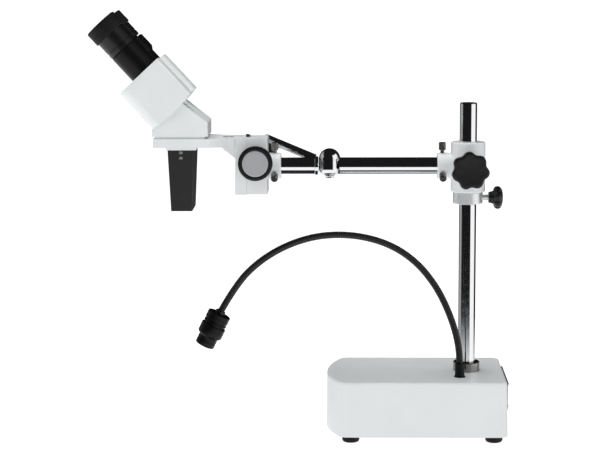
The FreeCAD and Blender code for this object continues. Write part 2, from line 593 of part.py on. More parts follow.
def pinion():
    """Spur pinion about its own Y axis, with one tooth gap facing the rack."""
    root, tip = PITCH_RADIUS - 1.25 * GEAR_MODULE, PITCH_RADIUS + GEAR_MODULE
    base = PITCH_RADIUS * math.cos(PRESSURE)
    half_tooth = (math.pi * GEAR_MODULE / 2 - BACKLASH) / 2 / PITCH_RADIUS
    outline = []
    for i in range(PINION_TEETH):
        centre = math.pi + (i + 0.5) * 2 * math.pi / PINION_TEETH
        flank = [(root, half_tooth + involute(PITCH_RADIUS))]
        for step in range(5):
            r = base + (tip - base) * step / 4
            flank.append((r, half_tooth + involute(PITCH_RADIUS) - involute(r)))
        outline += [(r, centre - a) for r, a in flank]
        outline += [(r, centre + a) for r, a in reversed(flank)]
    points = [V(r * math.cos(a), -PINION_HALF_WIDTH, r * math.sin(a)) for r, a in outline]
    solid = Part.Face(Part.makePolygon(points + points[:1])).extrude(V(0, 2 * PINION_HALF_WIDTH, 0))
    solid.translate(V(FOCUS_X, 0, FOCUS_Z))
    return solid


def rack():
    """Straight rack with a tooth centred on the pinion's height."""
    pitch = math.pi * GEAR_MODULE
    tip_x, root_x = RACK_PITCH_X + GEAR_MODULE, RACK_PITCH_X - 1.25 * GEAR_MODULE
    back_x = RACK_PITCH_X - 4.5
    half_tip = pitch / 4 - GEAR_MODULE * math.tan(PRESSURE) - BACKLASH / 2
    half_root = pitch / 4 + 1.25 * GEAR_MODULE * math.tan(PRESSURE) - BACKLASH / 2
    teeth = 21
    low = FOCUS_Z - (teeth // 2) * pitch
    points = [(back_x, low - pitch / 2)]
    for i in range(teeth):
        z = low + i * pitch
        points += [(root_x, z - half_root), (tip_x, z - half_tip)]
        points += [(tip_x, z + half_tip), (root_x, z + half_root)]
    points = points[:1] + [(root_x, low - pitch / 2)] + points[1:]
    top = low + (teeth - 1) * pitch + pitch / 2
    points += [(root_x, top), (back_x, top)]
    return side_profile(points, -PINION_HALF_WIDTH, PINION_HALF_WIDTH)


def dovetail(grow, z0, z1):
    (x0, y0), (x1, y1) = DOVETAIL
    wide, narrow = y1 + grow, y0 - 0.7 + grow
    corners = [(x0 - 1.0, narrow), (x1 + grow, wide), (x1 + grow, -wide), (x0 - 1.0, -narrow)]
    wire = Part.makePolygon([V(x, y, z0) for x, y in corners + corners[:1]])
    return Part.Face(wire).extrude(V(0, 0, z1 - z0))


def make_focus():
    block = box(BLOCK_FRONT + 0.2, BLOCK_BACK, -BLOCK_HALF_WIDTH, BLOCK_HALF_WIDTH, BLOCK_BOTTOM, BLOCK_TOP)
    block = rounded(block, 2.0, lambda e: upright(e) and e.BoundBox.XMin > BLOCK_FRONT + 5)
    boss = rod(FOCUS_BOSS_RADIUS, (BLOCK_BACK - 2.0, 0, ARM_Z), (1, 0, 0), FOCUS_BOSS_BACK - BLOCK_BACK + 2.0)
    boss = rounded(boss, 1.0, lambda e: e.BoundBox.XMin > FOCUS_BOSS_BACK - 0.01)
    block = block.fuse(boss)
    block = block.cut(dovetail(0.06, BLOCK_BOTTOM - 1, BLOCK_TOP + 1))
    block = block.cut(rod(10.6, (FOCUS_X, -4.6, FOCUS_Z), (0, 1, 0), 9.2))
    block = block.cut(rod(4.05, (FOCUS_X, -30, FOCUS_Z), (0, 1, 0), 60))
    block = block.cut(rod(TUBE_RADIUS, (BLOCK_BACK + 1.0, 0, ARM_Z), (1, 0, 0), 30))
    for aim in (TOP_SCREW_AIM, SIDE_SCREW_AIM):
        block = block.cut(rod(SCREW_RADIUS + RUNNING_FIT, (FOCUS_SCREW_X, 0, ARM_Z), aim, 20.0))
    save("focus_block", block)

    shaft = rod(4.0, (FOCUS_X, -47.0, FOCUS_Z), (0, 1, 0), 94.0)
    save("focus_shaft", shaft.fuse(pinion()))

    knobs, discs = [], []
    for side in (-1, 1):
        outer = side * KNOB_OUTER_Y
        ring = turned([
            (0, 0), (KNOB_RADIUS - 0.8, 0), (KNOB_RADIUS, 0.8), (KNOB_RADIUS, 11.0),
            (KNOB_RADIUS - 2.0, KNOB_THICKNESS), (12.0, KNOB_THICKNESS), (12.0, 25.4), (0, 25.4)],
            (FOCUS_X, outer, FOCUS_Z), (0, -side, 0))
        ring = ring.cut(rod(DISC_RADIUS, (FOCUS_X, outer, FOCUS_Z), (0, -side, 0), 1.5))
        ring = ring.cut(rod(4.0, (FOCUS_X, side * 20.0, FOCUS_Z), (0, side, 0), 27.0))
        knobs.append(ring)
        disc = rod(DISC_RADIUS - 0.05, (FOCUS_X, outer, FOCUS_Z), (0, -side, 0), 1.5)
        discs.append(disc)
    save("focus_knobs", *knobs)
    save("focus_knob_discs", *discs)

    carriage = box(CARRIAGE_FRONT, BLOCK_FRONT, -BLOCK_HALF_WIDTH, BLOCK_HALF_WIDTH,
                   BLOCK_BOTTOM - 0.5, PLATE_TOP)
    carriage = rounded(carriage, 2.0, lambda e: upright(e) and e.BoundBox.XMax < CARRIAGE_FRONT + 1)
    carriage = carriage.fuse(dovetail(0.0, BLOCK_BOTTOM - 0.5, BLOCK_TOP))
    rack_solid = rack()
    bed = box(RACK_PITCH_X - 4.5, BLOCK_FRONT + 8.0, -PINION_HALF_WIDTH, PINION_HALF_WIDTH, 290, 400)
    save("focus_carriage", carriage.cut(bed))
    save("focus_rack", rack_solid)


# ---- head ------------------------------------------------------------------------------------------------

def slope_height(x):
    """Height of the head body's slope, which the prism housings turn on, at a place along X."""
    lean = math.radians(VIEW_LEAN)
    return (SLOPE_V + x * math.sin(lean)) / math.cos(lean)


def make_head():
    outline = [(-400.0, -HEAD_HALF_WIDTH), (-328.0, -HEAD_HALF_WIDTH), (-306.0, -BLOCK_HALF_WIDTH),
               (CARRIAGE_FRONT, -BLOCK_HALF_WIDTH), (CARRIAGE_FRONT, BLOCK_HALF_WIDTH),
               (-306.0, BLOCK_HALF_WIDTH), (-328.0, HEAD_HALF_WIDTH), (-400.0, HEAD_HALF_WIDTH)]
    wire = Part.makePolygon([V(x, y, PLATE_BOTTOM) for x, y in outline + outline[:1]])
    plate = Part.Face(wire).extrude(V(0, 0, PLATE_TOP - PLATE_BOTTOM))
    plate = rounded(plate, 5.0, lambda e: upright(e) and -329 < e.BoundBox.XMin < -305)
    plate = rounded(plate, 2.0, lambda e: upright(e) and e.BoundBox.XMax < -399)
    gusset = side_profile([(CARRIAGE_FRONT, 358.3), (CARRIAGE_FRONT, PLATE_BOTTOM), (-316.0, PLATE_BOTTOM)],
                          -18.0, 18.0)
    plate = plate.fuse(gusset)
    for x in ARM_SCREW_X:
        plate = plate.cut(rod(3.6, (x, 0, PLATE_TOP - 3.4), (0, 0, 1), 10))
        plate = plate.cut(rod(1.9, (x, 0, PLATE_TOP - 19.0), (0, 0, 1), 30))
    plate = plate.cut(rod(27.0, (OBJECTIVE_X, 0, PLATE_TOP - 4.0), (0, 0, 1), 10.0))
    skirt = box(OBJECTIVE_X - 19.0, OBJECTIVE_X + 20.0, -HEAD_HALF_WIDTH, HEAD_HALF_WIDTH,
                OBJECTIVE_TOP, PLATE_BOTTOM)
    save("head_arm", plate.fuse(rounded(skirt, 3.0, upright)))

    seat = rod(26.9, (OBJECTIVE_X, 0, PLATE_TOP - 4.0), (0, 0, 1), 4.0)
    rib = box(-397.5, -335.0, -32.0, 32.0, PLATE_TOP, HEAD_FLOOR)
    ridge_z = slope_height(RIDGE_X)
    body = side_profile([
        (HEAD_FRONT, HEAD_FLOOR), (HEAD_BACK, HEAD_FLOOR), (HEAD_BACK, SHOULDER_Z), (RIDGE_X, ridge_z),
        (HEAD_FRONT, slope_height(HEAD_FRONT))], -HEAD_HALF_WIDTH, HEAD_HALF_WIDTH)
    body = rounded(body, 1.5, lambda e: e.BoundBox.YLength < 0.01 and e.BoundBox.ZMax > HEAD_FLOOR + 1)
    hollow = side_profile([
        (HEAD_FRONT + 14, HEAD_FLOOR + 2), (HEAD_BACK - 4, HEAD_FLOOR + 2), (HEAD_BACK - 4, SHOULDER_Z - 3.0),
        (RIDGE_X - 1, ridge_z - 15.0)], -22.0, 22.0)
    body = body.fuse(rib).fuse(seat).cut(hollow)
    for side in (-1, 1):
        body = body.cut(tilted(rod(9.05, (PIVOT_U, side * PIVOT_Y, SLOPE_V - 8.3), (0, 0, 1), 12.0)))
    save("head_body", body)

    rect = []
    for half_x, half_y, z in ((16.75, 34.5, OBJECTIVE_TOP), (13.5, 30.0, OBJECTIVE_BOTTOM)):
        signs = ((-1, -1), (1, -1), (1, 1), (-1, 1))
        corners = [V(OBJECTIVE_X + sx * half_x, sy * half_y, z) for sx, sy in signs]
        rect.append(Part.makePolygon(corners + corners[:1]))
    black = Part.makeLoft(rect, True, True)
    black = rounded(black, 1.2, lambda e: e.BoundBox.ZLength > 50)
    lenses, screws = [], []
    for y in (-14.0, 14.0):
        black = black.cut(rod(11.5, (OBJECTIVE_X, y, OBJECTIVE_BOTTOM - 1), (0, 0, 1), 6.0))
        lens = rod(11.45, (OBJECTIVE_X, y, OBJECTIVE_BOTTOM + 1.5), (0, 0, 1), 3.5)
        dish = Part.makeSphere(30.0, V(OBJECTIVE_X, y, OBJECTIVE_BOTTOM + 31.0))
        lenses.append(lens.common(dish))
    lean = (34.5 - 30.0) / (OBJECTIVE_TOP - OBJECTIVE_BOTTOM)
    aim = (0.0, -1.0, -lean)
    for z in (OBJECTIVE_TOP - 10.0, OBJECTIVE_TOP - 3.2):
        face_y = -34.5 + lean * (OBJECTIVE_TOP - z)
        black = black.cut(rod(1.5, (OBJECTIVE_X, face_y + 8.0, z + 8.0 * lean), aim, 12.0))
        head = turned([(0, 0), (2.6, 0), (2.6, 0.5), (1.6, 1.5), (0, 1.5)], (OBJECTIVE_X, face_y, z), aim)
        screws.append(head.fuse(rod(1.45, (OBJECTIVE_X, face_y + 6.0, z + 6.0 * lean), aim, 6.05)))
    for x in ARM_SCREW_X:
        socket = rod(1.6, (x, 0, PLATE_TOP - 2.0), (0, 0, 1), 4)
        cap = rod(3.5, (x, 0, PLATE_TOP - 3.4), (0, 0, 1), 3.4).cut(socket)
        screws.append(cap.fuse(rod(1.8, (x, 0, PLATE_TOP - 18.0), (0, 0, 1), 15.0)))
    save("objective_housing", black)
    save("objective_lenses", *lenses)
    save("head_screws", *screws)


def housing_block(v0, v1, inset):
    """The prism housing's plan: square outer corners at its high end, large round ones elsewhere."""
    u0, u1 = HOUSING_U[0] + inset, HOUSING_U[1] - inset
    inner, outer = EYE_Y - 24.0 + inset, EYE_Y + 26.0 - inset
    solid = box(u0, u1, inner, outer, v0, v1)
    solid = rounded(solid, 19.0 - inset, lambda e: upright(e) and e.BoundBox.YMax < inner + 1)

    def outer_corner(edge):
        return upright(edge) and edge.BoundBox.YMin > outer - 1

    solid = rounded(solid, 14.0 - inset, lambda e: outer_corner(e) and e.BoundBox.XMax < u0 + 1)
    return rounded(solid, 4.0 - inset * 0.8, lambda e: outer_corner(e) and e.BoundBox.XMin > u1 - 1)


def mirrored(shape, side):
    return shape.mirror(V(0, 0, 0), Y) if side < 0 else shape


def make_eye_side(side, name):
    """One prism housing with its eyepiece: side is -1 for the -Y one and 1 for the +Y one."""
    shell = housing_block(HOUSING_LOW, HOUSING_HIGH, 0.0)
    length = HOUSING_U[1] - HOUSING_U[0]
    middle = sum(HOUSING_U) / 2
    radius = (length / 2) ** 2 / (2 * SKIRT_DROP) + SKIRT_DROP / 2
    sagged = housing_block(HOUSING_LOW - SKIRT_DROP - 1, HOUSING_LOW + 1, 0.0)
    sagged = sagged.common(rod(radius, (middle, SKIRT_Y, HOUSING_LOW - SKIRT_DROP + radius), (0, 1, 0), 40.0))
    shell = shell.fuse(sagged)
    shell = shell.cut(housing_block(HOUSING_LOW + 4.0, HOUSING_HIGH + 1, 4.0))
    sleeve = rod(9.0, (PIVOT_U, PIVOT_Y, SLOPE_V - 8.0), (0, 0, 1), HOUSING_LOW + 4.0 - SLOPE_V + 8.0)
    shell = shell.fuse(sleeve).cut(rod(6.5, (PIVOT_U, PIVOT_Y, SLOPE_V - 10), (0, 0, 1), 20.0))
    save("prism_housing_" + name, tilted(mirrored(shell, side)))

    cover = housing_block(HOUSING_HIGH, COVER_TOP, 0.4)
    cover = cover.fuse(housing_block(HOUSING_HIGH - 2.0, HOUSING_HIGH, 4.2))
    cover = cover.cut(rod(14.0, (EYE_U, EYE_Y, HOUSING_HIGH - 5), (0, 0, 1), 20.0))
    save("prism_cover_" + name, tilted(mirrored(cover, side)))

    # fixed eyepiece tube, screwed down through the cover
    bore = EYE_TUBE_RADIUS - 4.0
    if side < 0:
        profile = [(bore, 0), (EYE_TUBE_RADIUS, 0), (EYE_TUBE_RADIUS, 36.6), (EYE_TUBE_RADIUS - 0.8, 37.4),
                   (bore, 37.4)]
    else:
        profile = [(bore, 0), (18.6, 0), (18.6, 37.4), (bore, 37.4)]
    spigot = tube(13.9, 11.0, (EYE_U, EYE_Y, HOUSING_HIGH - 6.0), (0, 0, 1), 8.5)
    floor = tube(bore + 0.5, 11.0, (EYE_U, EYE_Y, COVER_TOP), (0, 0, 1), 2.0)
    barrel = turned(profile, (EYE_U, EYE_Y, COVER_TOP), (0, 0, 1)).fuse(spigot).fuse(floor)
    save("eyepiece_tube_" + name, tilted(mirrored(barrel, side)))
    if side > 0:
        ring = turned([(18.65, 15.0), (19.2, 15.0), (22.0, 19.5), (22.0, 38.4), (20.6, 39.8), (18.65, 39.8)],
                      (EYE_U, EYE_Y, COVER_TOP), (0, 0, 1))
        save("diopter_ring", tilted(ring))

    # the eyepiece: a barrel in the tube's bore, a grip, and the soft cup round its lens
    rim = COVER_TOP + (41.7 if side > 0 else 37.6)
    grip = turned([
        (13.0, -30.0), (bore - 0.05, -30.0), (bore - 0.05, 0.0), (19.4, 0.0), (20.0, 0.6), (20.0, 6.0),
        (19.4, 6.6), (19.4, 7.6), (20.0, 8.2), (20.0, EYECUP_START - rim), (18.0, EYECUP_START + 3.0 - rim),
        (13.0, EYECUP_START + 3.0 - rim)],
        (EYE_U, EYE_Y, rim), (0, 0, 1))
    save("eyepiece_" + name, tilted(mirrored(grip, side)))
    lens = rod(12.95, (EYE_U, EYE_Y, EYECUP_START - 3.0), (0, 0, 1), 4.5)
    lens = lens.common(Part.makeSphere(40.0, V(EYE_U, EYE_Y, EYECUP_START + 1.5 - 40.0)))
    save("eye_lens_" + name, tilted(mirrored(lens, side)))
    cup = turned([(20.05, 0), (EYECUP_RADIUS - 0.6, 0), (EYECUP_RADIUS, 0.8), (EYECUP_RADIUS, 17.2),
                  (EYECUP_RADIUS - 0.9, 18.7), (EYECUP_RADIUS - 2.2, 19.0), (EYECUP_RADIUS - 3.0, 18.0),
                  (14.5, 6.5), (13.5, 3.0), (18.0, 3.0), (20.05, 0.05)],
                 (EYE_U, EYE_Y, EYECUP_START), (0, 0, 1))
    save("eyecup_" + name, tilted(mirrored(cup, side)))


# ---- build and export ------------------------------------------------------------------------------------

def main():
    make_base()
    make_column()
    make_rear_panel()
    make_lamp()
    make_collar()
    make_clamp_block()
    make_thumb_screws()
    make_boom()
    make_focus()
    make_head()
    make_eye_side(-1, "right")
    make_eye_side(1, "left")

    whole = Part.makeCompound([s for solids in NODES.values() for s in solids])
    reach = whole.BoundBox
    shift = V(-(reach.XMin + reach.XMax) / 2, -(reach.YMin + reach.YMax) / 2, -reach.ZMin)
    print("size", round(reach.XLength, 2), round(reach.YLength, 2), round(reach.ZLength, 2))
    print("column axis at x", round(shift.x, 3), "y", round(shift.y, 3), "z", round(shift.z, 3))
    os.makedirs("parts", exist_ok=True)
    for name, solids in NODES.items():
        pieces = [piece for shape in solids for piece in shape.removeSplitter().Solids]
        for piece in pieces:
            piece.translate(shift)
            if not piece.isValid():
                print("not valid:", name)
        node = pieces[0] if len(pieces) == 1 else Part.makeCompound(pieces)
        print(f"{name:22s} solids {len(pieces)}  volume {sum(p.Volume for p in pieces) / 1000:8.2f} cm3")
        node.exportStep(f"parts/{name}.step")


main()
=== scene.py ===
# %% [markdown]
# # A stereo microscope on a boom stand
# The model stands on a white base casting. A chrome column carries a jointed boom, the boom carries the
# focus mount and the two-eyed head, and a gooseneck lamp grows out of the base. The fixed sizes come from a
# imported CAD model, which is loaded as a frame. Everything is in metres, with +Z up and the head towards -X.
# This lesson gives each piece its finish, and makes again in mesh the pieces whose soft or fine shape the
# CAD leaves plain.

import json
import math

import bmesh
import bpy
from mathutils import Matrix, Vector


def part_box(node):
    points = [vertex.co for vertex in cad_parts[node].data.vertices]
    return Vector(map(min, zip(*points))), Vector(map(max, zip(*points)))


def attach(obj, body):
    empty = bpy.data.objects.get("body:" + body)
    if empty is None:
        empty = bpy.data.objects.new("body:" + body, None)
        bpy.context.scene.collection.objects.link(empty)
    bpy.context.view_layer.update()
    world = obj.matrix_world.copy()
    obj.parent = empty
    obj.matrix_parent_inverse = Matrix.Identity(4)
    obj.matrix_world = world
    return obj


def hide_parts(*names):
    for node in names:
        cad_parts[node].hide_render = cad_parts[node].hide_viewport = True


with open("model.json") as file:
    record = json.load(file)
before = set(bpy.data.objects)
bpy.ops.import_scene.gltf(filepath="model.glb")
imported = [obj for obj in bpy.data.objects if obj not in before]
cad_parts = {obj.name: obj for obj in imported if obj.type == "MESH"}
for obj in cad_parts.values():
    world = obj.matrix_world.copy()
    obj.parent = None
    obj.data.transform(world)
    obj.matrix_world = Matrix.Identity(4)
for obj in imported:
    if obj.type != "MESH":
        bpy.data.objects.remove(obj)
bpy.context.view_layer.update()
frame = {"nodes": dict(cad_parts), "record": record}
MM = 0.001
print("pieces in the frame:", len(frame["nodes"]))

# %% [markdown]
# ## The camera
# A long lens from the front and a little above keeps the boom's lines nearly level and shows a sliver of the
# base's top. The angles are built up as three turns: towards the head, down, and a hair of roll.

# %% Camera
scene = bpy.context.scene
scene.view_settings.view_transform = "Standard"
camera = bpy.data.objects.new("camera", bpy.data.cameras.new("camera"))
scene.collection.objects.link(camera)
scene.camera = camera
camera.data.lens = 115.56
camera.data.clip_end = 200.0
turn = Matrix.Rotation(math.radians(1.33), 4, "Z")
tip = Matrix.Rotation(math.radians(90 - 8.11), 4, "X")
roll = Matrix.Rotation(math.radians(-0.2), 4, "Z")
camera.matrix_world = Matrix.Translation((0.05588, -2.45317, 0.62032)) @ turn @ tip @ roll
print("camera lens", camera.data.lens, "mm")

# %% [markdown]
# ## A helper for nodes
# Every finish below is a small graph. One function adds a node, gives it its settings and joins its inputs,
# so that each finish reads as a list of steps.

# %% Node and colour helpers
def colour(code):
    """An sRGB hex value as the linear colour that shaders want."""
    parts = [int(code[i:i + 2], 16) / 255 for i in (0, 2, 4)]
    return tuple(p / 12.92 if p <= 0.04045 else ((p + 0.055) / 1.055) ** 2.4 for p in parts) + (1.0,)


def add(tree, kind, settings=None, links=None):
    """Adds one node. Settings are sockets or properties, and links are sockets fed by another output."""
    node = tree.nodes.new("ShaderNode" + kind)
    for key, value in (settings or {}).items():
        if isinstance(key, int) or key in node.inputs:
            node.inputs[key].default_value = value
        else:
            setattr(node, key, value)
    for key, source in (links or {}).items():
        tree.links.new(source, node.inputs[key])
    return node


def ramp(tree, source, stops):
    """Sets a colour ramp's stops from (place, gray) pairs."""
    node = add(tree, "ValToRGB", links={"Fac": source})
    points = node.color_ramp.elements
    while len(points) < len(stops):
        points.new(1.0)
    for point, (place, gray) in zip(points, stops):
        point.position = place
        point.color = (gray, gray, gray, 1.0)
    return node.outputs["Color"]


print("white enamel is", [round(c, 3) for c in colour("E4E8E9")])

# %% [markdown]
# ## The studio
# A product like this is shot in a white tent with black flags, so that white castings are lit softly from all
# round, while polished tubes mirror dark flags with a few bright strips between them. The world does both:
# rays that light matt surfaces find an even glow, rays mirrored by a shiny surface find flags and strips, and
# the camera finds white.

# %% World
world = bpy.data.worlds.new("tent")
scene.world = world
world.use_nodes = True
tent = world.node_tree
tent.nodes.clear()
FLAG, STRIP, BACK_STRIP = 0.012, 1.25, 0.42
heading = add(tent, "TexCoord")
split = add(tent, "SeparateXYZ", links={"Vector": heading.outputs["Generated"]})
nearer = add(tent, "Math", {"operation": "MULTIPLY", 1: -1.0}, {0: split.outputs["Y"]})
bearing = add(tent, "Math", {"operation": "ARCTAN2"}, {0: split.outputs["X"], 1: nearer.outputs[0]})
around = add(tent, "MapRange", {"From Min": -math.pi, "From Max": math.pi}, {"Value": bearing.outputs[0]})
height = add(tent, "MapRange", {"From Min": -1.0, "From Max": 1.0}, {"Value": split.outputs["Z"]})
side_strips = ramp(tent, around.outputs[0], [
    (0.0, FLAG), (0.10, FLAG), (0.13, BACK_STRIP), (0.235, BACK_STRIP), (0.26, FLAG), (0.595, FLAG),
    (0.615, STRIP), (0.775, STRIP), (0.80, FLAG), (1.0, FLAG)])
table_strip = ramp(tent, height.outputs[0], [
    (0.0, FLAG), (0.085, FLAG), (0.10, STRIP), (0.39, STRIP), (0.405, FLAG), (1.0, FLAG)])
no_ceiling = ramp(tent, height.outputs[0], [(0.0, 1.0), (0.8, 1.0), (0.85, 0.0), (1.0, 0.0)])
hung = add(tent, "Mix", {"data_type": "RGBA", "blend_type": "MULTIPLY", 0: 1.0},
           {6: side_strips, 7: no_ceiling})
flags = add(tent, "Mix", {"data_type": "RGBA", "blend_type": "LIGHTEN", 0: 1.0},
            {6: hung.outputs[2], 7: table_strip})
path = add(tent, "LightPath")
even = add(tent, "Background", {"Color": (1.0, 1.0, 1.0, 1.0), "Strength": 0.4})
mirrored_light = add(tent, "Background", {"Strength": 1.0}, {"Color": flags.outputs[2]})
seen = add(tent, "Background", {"Color": (1.0, 1.0, 1.0, 1.0), "Strength": 1.0})
lit = add(tent, "MixShader", links={0: path.outputs["Is Glossy Ray"], 1: even.outputs[0],
                                    2: mirrored_light.outputs[0]})
shown = add(tent, "MixShader", links={0: path.outputs["Is Camera Ray"], 1: lit.outputs[0],
                                      2: seen.outputs[0]})
add(tent, "OutputWorld", links={"Surface": shown.outputs[0]})
print("tent nodes", len(tent.nodes))

# %% [markdown]
# Two large soft boxes stand in front, one on each side of the lens, and a stronger one hangs above. It lights
# the base's top, which the lens sees at a glancing angle. Mirrors don't see the boxes, since the strips stand
# in for them. The floor is white paper that glows a little, so that it stays white under the base.

# %% Soft boxes and floor
def soft_box(name, place, target, size, power):
    light = bpy.data.lights.new(name, "AREA")
    light.shape = "RECTANGLE"
    light.size, light.size_y = size
    light.energy = power
    lamp = bpy.data.objects.new(name, light)
    scene.collection.objects.link(lamp)
    aim = Vector(target) - Vector(place)
    lamp.matrix_world = Matrix.Translation(place) @ aim.to_track_quat("-Z", "Y").to_matrix().to_4x4()
    lamp.visible_glossy = False


MIDDLE = (0.0, 0.0, 0.3)
FLOOR_RADIUS = 60.0
soft_box("front_left_box", (-0.6, -2.3, 1.3), MIDDLE, (1.4, 1.4), 6.0)
soft_box("front_right_box", (1.0, -2.3, 0.7), MIDDLE, (1.0, 1.4), 2.0)
soft_box("top_box", (-0.2, 0.2, 2.2), MIDDLE, (1.6, 1.6), 32.0)

shape = bmesh.new()
bmesh.ops.create_circle(shape, cap_ends=True, radius=FLOOR_RADIUS, segments=64)
floor_mesh = bpy.data.meshes.new("floor")
shape.to_mesh(floor_mesh)
shape.free()
floor = bpy.data.objects.new("floor", floor_mesh)
scene.collection.objects.link(floor)
paper = bpy.data.materials.new("white_backdrop_paper")
paper.use_nodes = True
sheet_shader = paper.node_tree.nodes["Principled BSDF"]
sheet_shader.inputs["Base Color"].default_value = colour("A5A6A6")
sheet_shader.inputs["Roughness"].default_value = 0.9
sheet_shader.inputs["Specular IOR Level"].default_value = 0.1
sheet_shader.inputs["Emission Color"].default_value = (1.0, 1.0, 1.0, 1.0)
sheet_shader.inputs["Emission Strength"].default_value = 0.95
floor.data.materials.append(paper)
floor.visible_glossy = False

# %% [markdown]
# ## Finishes
# Each finish starts from a plain principled shader. Patterns read Object coordinates, which are metres in the
# model's own frame, so one over a size in metres is the scale that draws it at that size.

# %% Shared steps of a finish
FINISHES = {}


def start_finish(slot, name, code, roughness, settings=None):
    """A new material for one slot: its tree, its shader and its object coordinates."""
    material = bpy.data.materials.new(name)
    material.use_nodes = True
    tree = material.node_tree
    shader = tree.nodes["Principled BSDF"]
    shader.inputs["Base Color"].default_value = colour(code)
    shader.inputs["Roughness"].default_value = roughness
    for key, value in (settings or {}).items():
        shader.inputs[key].default_value = value
    FINISHES[slot] = material
    return tree, shader, add(tree, "TexCoord").outputs["Object"]


def noise(tree, place, size_mm, detail=2.0):
    """Cloudy variation whose lumps are about size_mm across."""
    return add(tree, "TexNoise", {"Scale": 1.0 / (size_mm * MM), "Detail": detail},
               {"Vector": place}).outputs["Fac"]


def rough_between(tree, shader, source, low, high):
    """Lets a pattern move the roughness between two values."""
    span = add(tree, "MapRange", {"From Min": 0.3, "From Max": 0.7, "To Min": low, "To Max": high},
               {"Value": source})
    tree.links.new(span.outputs[0], shader.inputs["Roughness"])


def raise_by(tree, shader, source, depth_mm, strength=1.0):
    """Turns a pattern into relief of a real depth."""
    relief = add(tree, "Bump", {"Distance": depth_mm * MM, "Strength": strength}, {"Height": source})
    tree.links.new(relief.outputs[0], shader.inputs["Normal"])


def tint_between(tree, shader, source, dark, light):
    """Lets a pattern move the colour between two hex values."""
    tones = add(tree, "Mix", {"data_type": "RGBA", 6: colour(dark), 7: colour(light)}, {0: source})
    tree.links.new(tones.outputs[2], shader.inputs["Base Color"])


print("finish helpers ready")

# %% [markdown]
# ### Stove enamel
# The castings are sprayed and baked. Baked enamel has a satin gloss with a faint orange peel, a ripple about
# 1.5 mm across and a few microns deep, and its tone drifts very slightly where the coat is thicker.

# %% White enamel
ENAMELS = {"white_enamel": "stove_enamel_on_base", "white_enamel_alloy": "stove_enamel_on_castings"}
for slot, name in ENAMELS.items():
    tree, shader, place = start_finish(slot, name, "E6E9EA", 0.34,
                                       {"Coat Weight": 0.25, "Coat Roughness": 0.18})
    tint_between(tree, shader, noise(tree, place, 35.0), "E1E5E6", "E9ECED")
    rough_between(tree, shader, noise(tree, place, 12.0), 0.3, 0.4)
    raise_by(tree, shader, noise(tree, place, 1.5, 1.0), 0.02, 0.35)
print("enamel on", list(FINISHES))

# %% [markdown]
# ### Bright metals
# The tubes are ground, buffed and chromed, so they mirror the studio with hardly any blur. The thumb screws
# are satin nickel, darker and softer. The collar and the studs are left as turned, with tool rings a quarter
# of a millimetre apart, which are drawn at 0.5 mm so that they show. The rack is brass, burnished dark.

# %% Chrome, nickel and turned steel
tree, shader, place = start_finish("chrome_tube", "chrome_plate_buffed", "DDDEE0", 0.05, {"Metallic": 1.0})
rough_between(tree, shader, noise(tree, place, 6.0, 4.0), 0.035, 0.075)

tree, shader, place = start_finish("nickel", "nickel_plate_satin", "8E8D8A", 0.2, {"Metallic": 1.0})
rough_between(tree, shader, noise(tree, place, 1.2, 4.0), 0.16, 0.3)
raise_by(tree, shader, noise(tree, place, 0.5), 0.01, 0.4)

tree, shader, place = start_finish("machined_steel", "turned_steel_bright", "DFE1E3", 0.36, {"Metallic": 0.7})
tool_rings = add(tree, "TexWave", {"bands_direction": "Z", "Scale": 0.314 / (0.5 * MM), "Distortion": 0.4},
                 {"Vector": place}).outputs["Fac"]
rough_between(tree, shader, noise(tree, place, 1.0, 3.0), 0.32, 0.42)
raise_by(tree, shader, tool_rings, 0.008, 0.5)

tree, shader, place = start_finish("zinc_steel", "zinc_plate_dull", "A6A9AD", 0.36, {"Metallic": 1.0})
tint_between(tree, shader, noise(tree, place, 2.0, 3.0), "9A9DA2", "B4B7BA")
rough_between(tree, shader, noise(tree, place, 1.0, 3.0), 0.3, 0.46)

tree, shader, place = start_finish("brass", "brass_burnished_dark", "5B5347", 0.28, {"Metallic": 1.0})
rough_between(tree, shader, noise(tree, place, 0.8, 3.0), 0.22, 0.36)
print("bright metals ready")

# %% [markdown]
# ### Blacks
# There are many blacks side by side, and their gloss tells them apart: bead-blasted anodised aluminium on
# the lamp and eyepieces, satin enamel on the objective housing, moulded phenolic knobs, injection-moulded
# plastic, and matt rubber.

# %% Black finishes
tree, shader, place = start_finish("black_anodised", "black_anodised_blasted", "0B0B0C", 0.34,
                                   {"Specular IOR Level": 0.2})
rough_between(tree, shader, noise(tree, place, 0.6), 0.3, 0.42)
raise_by(tree, shader, noise(tree, place, 0.35, 1.0), 0.01, 0.5)

tree, shader, place = start_finish("black_enamel", "black_satin_enamel", "161617", 0.36,
                                   {"Specular IOR Level": 0.4})
tint_between(tree, shader, noise(tree, place, 9.0), "141415", "19191A")
raise_by(tree, shader, noise(tree, place, 0.7, 1.0), 0.015, 0.5)

tree, shader, place = start_finish("knob_phenolic", "phenolic_moulded", "121214", 0.38,
                                   {"Specular IOR Level": 0.4})
rough_between(tree, shader, noise(tree, place, 2.5, 3.0), 0.34, 0.48)
raise_by(tree, shader, noise(tree, place, 0.5, 1.0), 0.01, 0.4)

tree, shader, place = start_finish("black_plastic", "abs_moulded_black", "0D0D0E", 0.33,
                                   {"Specular IOR Level": 0.4})
rough_between(tree, shader, noise(tree, place, 1.5, 3.0), 0.3, 0.42)
raise_by(tree, shader, noise(tree, place, 0.4, 1.0), 0.01, 0.35)

tree, shader, place = start_finish("soft_rubber", "rubber_moulded_matt", "111112", 0.6,
                                   {"Specular IOR Level": 0.25})
tint_between(tree, shader, noise(tree, place, 5.0, 3.0), "0F0F10", "151517")
raise_by(tree, shader, noise(tree, place, 0.6, 2.0), 0.03, 0.5)

